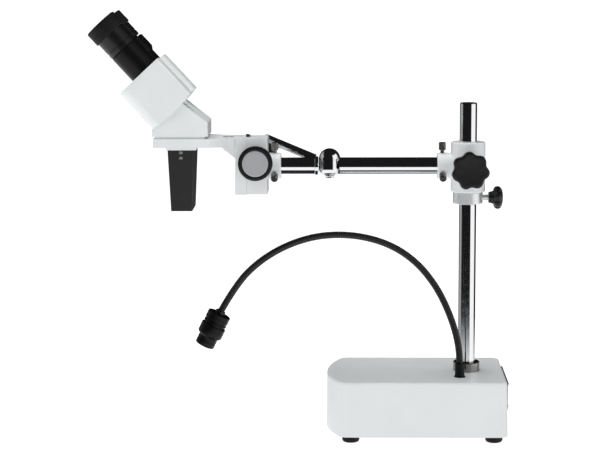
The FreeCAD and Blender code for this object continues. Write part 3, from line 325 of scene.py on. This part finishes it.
tree, shader, place = start_finish("neck_sleeve", "wound_conduit_black", "131314", 0.34)
rough_between(tree, shader, noise(tree, place, 2.0, 3.0), 0.28, 0.42)
print("blacks ready")

# %% [markdown]
# ### Grays, glass, iron and board
# The focus discs are pale anodised aluminium, faced on a lathe, so faint rings run round their centres. The
# rings are drawn 1.1 mm apart. Lenses have a blue-green coating. The counterweight and the circuit board are
# inside the base.

# %% Gray discs, panel, glass, iron and circuit board
disc_low, disc_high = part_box("focus_knob_discs")
disc_centre = (disc_low + disc_high) / 2
tree, shader, place = start_finish("gray_disc", "anodised_discs_faced", "AEAFB2", 0.4, {"Metallic": 0.25})
centred = add(tree, "Mapping", {"Location": (-disc_centre.x, 0.0, -disc_centre.z)}, {"Vector": place})
faced = add(tree, "TexWave", {"wave_type": "RINGS", "rings_direction": "Y", "Scale": 0.314 / (1.1 * MM)},
            {"Vector": centred.outputs[0]}).outputs["Fac"]
tint_between(tree, shader, faced, "A6A7AA", "B3B4B7")
raise_by(tree, shader, faced, 0.02, 0.3)

tree, shader, place = start_finish("gray_panel", "powder_coat_gray", "4B4D50", 0.5)
raise_by(tree, shader, noise(tree, place, 0.8, 1.0), 0.04, 0.6)

tree, shader, place = start_finish("coated_glass", "coated_optical_glass", "DCE9F2", 0.02, {
    "Transmission Weight": 0.75, "IOR": 1.52, "Coat Weight": 1.0, "Coat Tint": colour("9FD2C4")})

tree, shader, place = start_finish("cast_iron", "cast_iron_rough", "4A4A4B", 0.7, {"Metallic": 0.5})
tint_between(tree, shader, noise(tree, place, 4.0, 5.0), "3C3B3A", "57585A")
raise_by(tree, shader, noise(tree, place, 1.2, 4.0), 0.2, 0.6)

tree, shader, place = start_finish("circuit_board", "solder_mask_green", "1E5B33", 0.3)
tracks = add(tree, "TexBrick", {"Scale": 1.0 / (8.0 * MM), "Mortar Size": 0.05}, {"Vector": place})
tint_between(tree, shader, tracks.outputs["Fac"], "1E5B33", "2E7B48")
print("finishes", len(FINISHES))

# %% [markdown]
# ## Shaping pieces
# Most pieces here are turned parts, so the main tool is a lathe: a profile of (radius, height) pairs in
# millimetres is drawn as a chain of edges and spun about Z. The piece is then laid on its own axis. Its place
# goes into the mesh, and the object stays at the origin, as the CAD's nodes do.

# %% Lathe and placing
def laid_on(start, direction):
    """The matrix that carries millimetres round Z to metres round an axis of the model."""
    across = Vector(direction).to_track_quat("Z", "Y").to_matrix().to_4x4()
    return Matrix.Translation(start) @ across @ Matrix.Scale(MM, 4)


def spun(shape, profile, steps=72):
    """Spins a profile about Z inside a bmesh, and closes it where it meets the axis."""
    chain = [shape.verts.new((radius, 0.0, height)) for radius, height in profile]
    edges = [shape.edges.new(pair) for pair in zip(chain, chain[1:])]
    bmesh.ops.spin(shape, geom=chain + edges, cent=(0, 0, 0), axis=(0, 0, 1), angle=math.tau, steps=steps,
                   use_merge=True, use_duplicate=False)
    bmesh.ops.remove_doubles(shape, verts=shape.verts, dist=1e-4)


def join_in(shape, other, place):
    """Moves one bmesh to its place and adds it to another."""
    bmesh.ops.recalc_face_normals(other, faces=other.faces)
    bmesh.ops.transform(other, matrix=place, verts=other.verts)
    mesh = bpy.data.meshes.new("joined")
    other.to_mesh(mesh)
    other.free()
    shape.from_mesh(mesh)
    bpy.data.meshes.remove(mesh)


def keep_sharp(shape, limit):
    """Smooth faces, with a crease wherever two faces meet at more than the limit, in degrees."""
    for face in shape.faces:
        face.smooth = True
    for edge in shape.edges:
        edge.smooth = edge.calc_face_angle(0.0) < math.radians(limit)


def finished(name, shape, slot, body, nodes=(), place=None, limit=32.0):
    """Turns a bmesh into a piece that rides a body and stands for its CAD nodes."""
    bmesh.ops.recalc_face_normals(shape, faces=shape.faces)
    keep_sharp(shape, limit)
    mesh = bpy.data.meshes.new(name)
    shape.to_mesh(mesh)
    shape.free()
    if place is not None:
        mesh.transform(place)
    mesh.materials.append(FINISHES[slot])
    piece = bpy.data.objects.new(name, mesh)
    scene.collection.objects.link(piece)
    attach(piece, body)
    if nodes:
        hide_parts(*nodes)
    return piece


def centre_of(node):
    low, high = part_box(node)
    return (low + high) / 2


COLUMN_X = centre_of("column_flange").x
print("column stands at x =", round(COLUMN_X / MM, 1), "mm")

# %% [markdown]
# ## The star knobs
# Both clamps are tightened with seven-lobed knobs of moulded phenolic. A circle is pushed in and out to make
# the lobes, and the same outline is then drawn up and in, ring after ring, as a mould would leave it: a soft
# rim, and a face that is slightly dished on the large knob and domed on the small one.

# %% Star knobs
def star_knob(name, radius, thickness, rounding, dome, hub, place, first_angle, body, node):
    """A seven-lobed knob. The rounding is a share of the radius, and the dome is in millimetres."""
    shape = bmesh.new()
    lobes, per_lobe, valley, narrowing, rim_steps = 7, 20, 0.135, 1.3, 6
    bmesh.ops.create_circle(shape, radius=radius, segments=lobes * per_lobe)
    for vert in shape.verts:
        angle = math.atan2(vert.co.y, vert.co.x) - math.radians(first_angle)
        vert.co *= 1.0 - valley * (0.5 - 0.5 * math.cos(lobes * angle)) ** narrowing
    rim = list(shape.edges)
    quarter = [math.pi / 2 * i / rim_steps for i in range(1, rim_steps + 1)]
    stations = [(1 - rounding * (1 - math.sin(t)), rounding * radius * (1 - math.cos(t))) for t in quarter]
    edge_top = thickness - max(dome, 0.0)
    upper = [(scale, edge_top - level) for scale, level in reversed(stations)]
    inner = upper[-1][0]
    face = [(inner * share, edge_top + dome * (1 - share * share)) for share in (0.96, 0.8, 0.6, 0.4, 0.2)]
    scale_now, height_now = 1.0, 0.0
    for i, (scale, level) in enumerate(stations + upper + face):
        if i == 0:
            bmesh.ops.scale(shape, vec=(scale, scale, 1), verts=shape.verts)
            scale_now = scale
            continue
        grown = bmesh.ops.extrude_edge_only(shape, edges=rim)["geom"]
        verts = {g for g in grown if isinstance(g, bmesh.types.BMVert)}
        rim = [g for g in grown if isinstance(g, bmesh.types.BMEdge) and set(g.verts) <= verts]
        bmesh.ops.scale(shape, vec=(scale / scale_now, scale / scale_now, 1), verts=list(verts))
        bmesh.ops.translate(shape, vec=(0, 0, level - height_now), verts=list(verts))
        scale_now, height_now = scale, level
    bmesh.ops.holes_fill(shape, edges=shape.edges, sides=0)
    spun(shape, hub)
    return finished(name, shape, "knob_phenolic", body, [node], place)


clamp_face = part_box("clamp_star_knob")[0].y
star_knob("boom_clamp_knob", 24.0, 16.0, 0.13, -0.8,
          [(4.0, -14.6), (12.5, -14.6), (13.0, -9.0), (15.5, 0.6), (4.0, 0.6)],
          laid_on((COLUMN_X, clamp_face + 16.0 * MM, centre_of("clamp_stud").z), (0, -1, 0)), 95.0,
          "boom_knob", "clamp_star_knob")
collar_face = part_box("collar_knob")[1].x
star_knob("collar_clamp_knob", 15.0, 12.0, 0.34, 1.6,
          [(3.5, -6.4), (7.0, -6.4), (7.6, -3.0), (9.0, 0.0), (11.0, 2.2), (3.5, 2.2)],
          laid_on((collar_face - 12.0 * MM, 0.0, centre_of("collar_stud").z), (1, 0, 0)), 12.0,
          "collar_clamp", "collar_knob")
print("star knobs made")

# %% [markdown]
# ## The elbow
# The elbow of the boom is a chromed barrel with a round crown, in three slices round one upright pin. The
# middle slice belongs to the forearm, the ones above and below it belong to the arm, and the crown is the
# pin's head. Each slice is an arc of the barrel's outline, turned on the lathe. Below the middle slice, where
# the barrel narrows, a short socket cut from a turned pipe joins it to the arm tube.

# %% Elbow
ELBOW = Vector((centre_of("elbow_pin").x, 0.0, 346.5 * MM))
BARREL_RADIUS, CROWN_CENTRE, CROWN_START, BELLY, BARREL_FOOT = 13.8, 8.9, 17.0, -4.0, -14.3
SLICE_HALF, SLICE_GAP, PIPE_RADIUS, BELLY_CURVE = 8.6, 0.2, 11.0, 1.26
ELBOW_AXIS, ARM_AXIS = laid_on(ELBOW, (0, 0, 1)), laid_on(ELBOW, (1, 0, 0))


def barrel_slice(low, high):
    """Outline of the barrel between two heights above the arm's middle, closed on its axis."""
    outline = [(0.0, low)]
    for i in range(13):
        height = low + (high - low) * (0.5 - 0.5 * math.cos(math.pi * i / 12))
        rise = max(height - CROWN_CENTRE, 0.0) + max(BELLY - height, 0.0) * BELLY_CURVE
        outline.append((math.sqrt(BARREL_RADIUS ** 2 - rise ** 2), height))
    return outline + [(0.0, high)]


fork, socket = bmesh.new(), bmesh.new()
spun(fork, barrel_slice(BARREL_FOOT, -SLICE_HALF - SLICE_GAP), 64)
spun(fork, barrel_slice(SLICE_HALF + SLICE_GAP, CROWN_START - 0.05), 64)
bmesh.ops.transform(fork, matrix=ELBOW_AXIS, verts=fork.verts)
spun(socket, [(7.9, 6.0), (PIPE_RADIUS, 6.0), (PIPE_RADIUS, 14.0), (7.9, 14.0), (7.9, 6.0)], 64)
bmesh.ops.transform(socket, matrix=ARM_AXIS, verts=socket.verts)
bmesh.ops.bisect_plane(socket, geom=socket.verts[:] + socket.edges[:] + socket.faces[:], dist=1e-7,
                       plane_co=ELBOW - Vector((0.0, 0.0, (SLICE_HALF + SLICE_GAP) * MM)),
                       plane_no=(0, 0, 1), clear_outer=True)
bmesh.ops.holes_fill(socket, edges=socket.edges, sides=0)
join_in(fork, socket, Matrix.Identity(4))
finished("elbow_ball_fork", fork, "chrome_tube", "arm", ["elbow_fork"])

pin = bmesh.new()
spun(pin, barrel_slice(CROWN_START, CROWN_CENTRE + BARREL_RADIUS - 1e-3), 64)
spun(pin, [(0.0, BARREL_FOOT + 0.6), (6.0, BARREL_FOOT + 0.6), (6.0, BARREL_FOOT - 0.5),
           (5.4, BARREL_FOOT - 1.0), (0.0, BARREL_FOOT - 1.0)], 48)
finished("elbow_ball_crown", pin, "chrome_tube", "arm", ["elbow_pin"], ELBOW_AXIS)

tongue = bmesh.new()
middle, sleeve = bmesh.new(), bmesh.new()
spun(middle, barrel_slice(-SLICE_HALF, SLICE_HALF), 64)
join_in(tongue, middle, ELBOW_AXIS)
spun(sleeve, [(0.0, -36.0), (9.4, -36.0), (9.4, -18.8), (11.8, -18.8), (12.2, -18.4), (12.2, -15.0),
              (11.7, -14.4), (0.0, -14.4)], 64)
join_in(tongue, sleeve, ARM_AXIS)
bridge = bmesh.new()
bmesh.ops.create_cube(bridge, size=1.0)
join_in(tongue, bridge, ELBOW_AXIS @ Matrix.Translation((-10.0, 0.0, 0.0))
        @ Matrix.Diagonal((12.0, 15.0, 2 * SLICE_HALF - 0.1, 1.0)))
finished("elbow_ball_tongue", tongue, "chrome_tube", "forearm", ["elbow_tongue"])
print("elbow at x =", round(ELBOW.x / MM, 1), "mm")

# %% [markdown]
# ## The gooseneck
# A gooseneck is a strip of steel wound into a tube over a spring wire, and sleeved in black. It holds any
# bend, so it is a stiff piece here. Its middle line is a smooth spline inside the same corner points as the
# CAD's, and a ring of vertices is drawn along it, a little wider on each winding than between them. The
# windings are 2.2 mm apart. A turned ferrule closes the end that holds the lamp.

# %% Gooseneck
NECK_FOOT = centre_of("lamp_socket")
NECK_CORNERS = (
    (0.0, 87.0), (0.0, 108.0), (-4.5, 135.0), (-15.0, 166.0), (-31.0, 198.0), (-55.5, 228.5), (-88.5, 251.0),
    (-130.5, 263.0), (-175.0, 263.5), (-216.0, 252.3), (-253.5, 231.0), (-284.0, 201.0), (-305.0, 164.0))


def spline_points(corners):
    """Close points on a quadratic spline inside the corners, as Blender's own curve gives them."""
    data = bpy.data.curves.new("route", "CURVE")
    data.dimensions = "3D"
    route = data.splines.new("NURBS")
    route.points.add(len(corners) - 1)
    for point, (x, z) in zip(route.points, corners):
        point.co = (NECK_FOOT.x + x * MM, NECK_FOOT.y, z * MM, 1.0)
    route.order_u = 3
    route.use_endpoint_u = True
    data.resolution_u = 24
    holder = bpy.data.objects.new("route", data)
    mesh = bpy.data.meshes.new_from_object(holder)
    points = [v.co.copy() for v in mesh.vertices]
    bpy.data.objects.remove(holder)
    bpy.data.curves.remove(data)
    bpy.data.meshes.remove(mesh)
    return points


def evenly(points, step):
    """Points a fixed step apart along a line of close points, each with the line's direction there."""
    out, run = [], 0.0
    for a, b in zip(points, points[1:]):
        length = (b - a).length
        while run <= length and length > 0:
            out.append((a.lerp(b, run / length), (b - a).normalized()))
            run += step
        run -= length
    return out


neck_line = spline_points(NECK_CORNERS)
WINDING, NECK_RADIUS = 2.2, 4.5
neck_rings = evenly(neck_line, WINDING / 4 * MM)
neck = bmesh.new()
bmesh.ops.create_circle(neck, radius=1.0, segments=20)
rim = list(neck.edges)
WINDING_SHAPE = (0.87, 0.975, 1.0, 0.975)
for i, (point, along) in enumerate(neck_rings):
    radius = NECK_RADIUS * WINDING_SHAPE[i % 4] * MM
    if i:
        grown = bmesh.ops.extrude_edge_only(neck, edges=rim)["geom"]
        verts = [g for g in grown if isinstance(g, bmesh.types.BMVert)]
        known = set(verts)
        rim = [g for g in grown if isinstance(g, bmesh.types.BMEdge) and set(g.verts) <= known]
        step = point - last_point
        tilt = last_along.rotation_difference(along).to_matrix()
        bmesh.ops.rotate(neck, cent=last_point, matrix=tilt, verts=verts)
        bmesh.ops.translate(neck, vec=step, verts=verts)
        bmesh.ops.scale(neck, vec=(radius / last_radius,) * 3, space=Matrix.Translation(-point), verts=verts)
    else:
        bmesh.ops.scale(neck, vec=(radius,) * 3, verts=neck.verts)
        upright = Vector((0, 0, 1)).rotation_difference(along).to_matrix()
        bmesh.ops.rotate(neck, cent=(0, 0, 0), matrix=upright, verts=neck.verts)
        bmesh.ops.translate(neck, vec=point, verts=neck.verts)
    last_point, last_along, last_radius = point, along, radius
bmesh.ops.holes_fill(neck, edges=neck.edges, sides=0)
LAMP_LEAN = math.radians(26.0)
lamp_aim = Vector((-math.sin(LAMP_LEAN), 0.0, -math.cos(LAMP_LEAN)))
tip_x, tip_z = NECK_CORNERS[-1]
neck_tip = Vector((NECK_FOOT.x + tip_x * MM, NECK_FOOT.y, tip_z * MM))
ferrule = bmesh.new()
spun(ferrule, [(0.0, -2.0), (5.6, -2.0), (6.5, -1.2), (6.5, 0.6), (6.1, 0.9), (6.1, 1.5), (6.5, 1.8),
               (6.5, 5.2), (6.1, 5.8), (4.0, 5.8), (4.0, 13.9), (0.0, 13.9)], 48)
join_in(neck, ferrule, laid_on(neck_tip, lamp_aim))
finished("wound_gooseneck", neck, "neck_sleeve", "lamp_neck", ["gooseneck"], limit=50.0)
print("gooseneck rings", len(neck_rings), "length mm", round(len(neck_rings) * WINDING / 4))

# %% [markdown]
# ## The lamp head
# The lamp is a turned aluminium barrel. Its back is a shallow cup round the neck, cooling grooves are cut
# round it, its front is a separate bezel, and a moulded lens sits inside the bezel's rim. Each is one profile
# on the lathe, in millimetres along the lamp's axis.

# %% Lamp head
NECK_TO_LAMP = 6.2
lamp_place = laid_on(neck_tip + lamp_aim * NECK_TO_LAMP * MM, lamp_aim)


def turned_piece(name, profile, slot, body, nodes, place, steps=72, limit=32.0):
    shape = bmesh.new()
    spun(shape, profile + profile[:1] if profile[0][0] > 0 else profile, steps)
    return finished(name, shape, slot, body, nodes, place, limit)


turned_piece("lamp_barrel", [
    (4.05, 1.0), (9.9, 1.0), (10.3, 0.6), (10.3, -3.1), (10.8, -3.6), (14.5, -3.6), (15.0, -3.1), (15.0, 1.3),
    (14.6, 1.6), (14.6, 2.3), (15.0, 2.6), (15.0, 5.7), (14.6, 6.1), (13.6, 6.3), (13.6, 7.9), (14.6, 8.1),
    (15.0, 8.5), (15.0, 9.9), (14.6, 10.3), (13.6, 10.5), (13.6, 12.0), (14.6, 12.2), (15.2, 12.7),
    (15.9, 13.5), (16.0, 14.0), (16.0, 17.8), (15.6, 18.1), (15.6, 18.9), (16.0, 19.2), (16.0, 25.4),
    (15.8, 26.1), (14.7, 27.3), (14.2, 27.5), (10.5, 27.5), (10.5, 14.0), (4.05, 14.0)],
    "black_anodised", "lamp_head", ["lamp_body"], lamp_place)
turned_piece("lamp_bezel_ring", [
    (10.4, 19.0), (10.4, 27.7), (13.0, 27.7), (13.2, 27.9), (12.7, 28.9), (12.6, 29.3), (12.6, 33.6),
    (12.2, 34.0), (12.2, 34.8), (12.6, 35.2), (12.6, 40.2), (12.4, 40.8), (11.8, 41.4), (11.4, 41.6),
    (10.2, 41.6), (9.7, 41.4), (9.4, 40.9), (9.4, 33.0), (8.4, 33.0), (8.4, 19.0)],
    "black_anodised", "lamp_head", ["lamp_bezel"], lamp_place)
turned_piece("lamp_front_lens", [
    (0.0, 37.3), (2.4, 37.2), (4.5, 36.9), (6.2, 36.4), (7.5, 35.8), (8.6, 35.0), (9.3, 34.2), (9.3, 33.1),
    (0.0, 33.1)], "coated_glass", "lamp_head", ["lamp_lens"], lamp_place)
print("lamp head turned")

# %% [markdown]
# ## Eyecups and cover screws
# An eyecup is soft moulded rubber pulled over the eyepiece. Its outside is a plain cylinder with a soft lip,
# and the inside funnels down to the lens, with a fold where it can be rolled back. Two small zinc screws hold
# each prism housing's cover near its low end, and each is a turned head with a pit for the driver.

# %% Eyecups and cover screws
CUP_PROFILE = [
    (20.05, 0.0), (21.2, 0.0), (21.7, 0.25), (21.95, 0.8), (22.0, 1.6), (22.0, 7.6), (21.75, 7.9),
    (21.75, 8.5), (22.0, 8.8), (22.0, 16.6), (21.95, 17.4), (21.6, 18.2), (21.0, 18.8), (20.2, 19.0),
    (19.5, 18.7), (19.0, 18.0), (18.4, 15.6), (17.3, 12.4), (15.6, 9.0), (14.5, 6.5), (13.9, 4.6),
    (13.5, 3.0), (18.0, 3.0), (20.05, 0.05)]
SCREW_PROFILE = [(0.0, -0.5), (1.7, -0.5), (1.7, 0.2), (1.3, 0.5), (0.5, 0.5), (0.5, -0.1), (0.0, -0.1)]
SCREW_PLACES = ((-18.0, 35.0), (-18.0, 43.0))
EYE_ALONG, EYE_ACROSS, CUP_START, COVER_TOP = 18.5, 33.0, 685.9, 623.4
EYE_LEAN = math.radians(42.7)


def eye_place(side, height, along=EYE_ALONG, across=EYE_ACROSS):
    """A place on the head's leaning axes: a height along the eyepieces, and how far along and across."""
    x = along * math.cos(EYE_LEAN) - height * math.sin(EYE_LEAN)
    z = along * math.sin(EYE_LEAN) + height * math.cos(EYE_LEAN)
    return laid_on((COLUMN_X + x * MM, side * across * MM, z * MM),
                   (-math.sin(EYE_LEAN), 0, math.cos(EYE_LEAN)))


for side, name in ((-1, "right"), (1, "left")):
    turned_piece("rubber_eyecup_" + name, CUP_PROFILE, "soft_rubber", name + "_eyepiece", ["eyecup_" + name],
                 eye_place(side, CUP_START), 84)
    screws = bmesh.new()
    for along, across in SCREW_PLACES:
        head = bmesh.new()
        spun(head, SCREW_PROFILE, 20)
        join_in(screws, head, eye_place(side, COVER_TOP, along, across))
    finished("cover_screws_" + name, screws, "zinc_steel", name + "_side")
print("eyecups at", tuple(round(c, 3) for c in eye_place(-1, CUP_START).translation))

# %% [markdown]
# ## Focus knobs
# The two focus knobs are moulded in black plastic with a pale disc let into each outer face. The rim is
# turned with soft edges and a fine groove, and the disc is faced, with a low step near its edge.

# %% Focus knobs
KNOB_CENTRE = centre_of("focus_knob_discs")
KNOB_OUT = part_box("focus_knobs")[1].y
RIM_PROFILE = [
    (16.5, 1.5), (16.5, 0.5), (16.8, 0.1), (17.2, 0.0), (20.6, 0.0), (21.3, 0.25), (21.7, 0.9), (21.75, 1.5),
    (21.75, 4.6), (21.4, 5.0), (21.4, 5.6), (21.75, 6.0), (21.75, 10.6), (21.5, 11.4), (20.9, 12.3),
    (20.0, 12.9), (19.5, 13.0), (12.6, 13.0), (12.0, 13.5), (12.0, 25.0), (11.6, 25.4), (4.0, 25.4),
    (4.0, 3.0), (0.0, 3.0), (0.0, 1.5), (16.5, 1.5)]
DISC_PROFILE = [
    (0.0, 0.12), (13.2, 0.12), (13.4, 0.3), (13.8, 0.3), (14.0, 0.12), (15.9, 0.12), (16.3, 0.3),
    (16.45, 0.6), (16.45, 1.5), (0.0, 1.5)]
knobs, discs = bmesh.new(), bmesh.new()
for side in (-1, 1):
    face = laid_on((KNOB_CENTRE.x, side * KNOB_OUT, KNOB_CENTRE.z), (0, -side, 0))
    for whole, profile in ((knobs, RIM_PROFILE), (discs, DISC_PROFILE)):
        one = bmesh.new()
        spun(one, profile, 96)
        join_in(whole, one, face)
finished("focus_knob_rims", knobs, "black_plastic", "focus_drive", ["focus_knobs"])
finished("focus_knob_faces", discs, "gray_disc", "focus_drive", ["focus_knob_discs"])
print("focus knobs stand", round(KNOB_OUT / MM, 1), "mm either side")

# %% [markdown]
# ## The rest of the frame
# The castings, tubes and screws are already their final shape in the CAD, so they keep it and only take their
# finish. The record says which slot each one belongs to.

# %% Finish the CAD pieces
for row in frame["record"]["subparts"]:
    node = frame["nodes"][row["node"]]
    node.data.materials.clear()
    node.data.materials.append(FINISHES[row["material_slot"]])
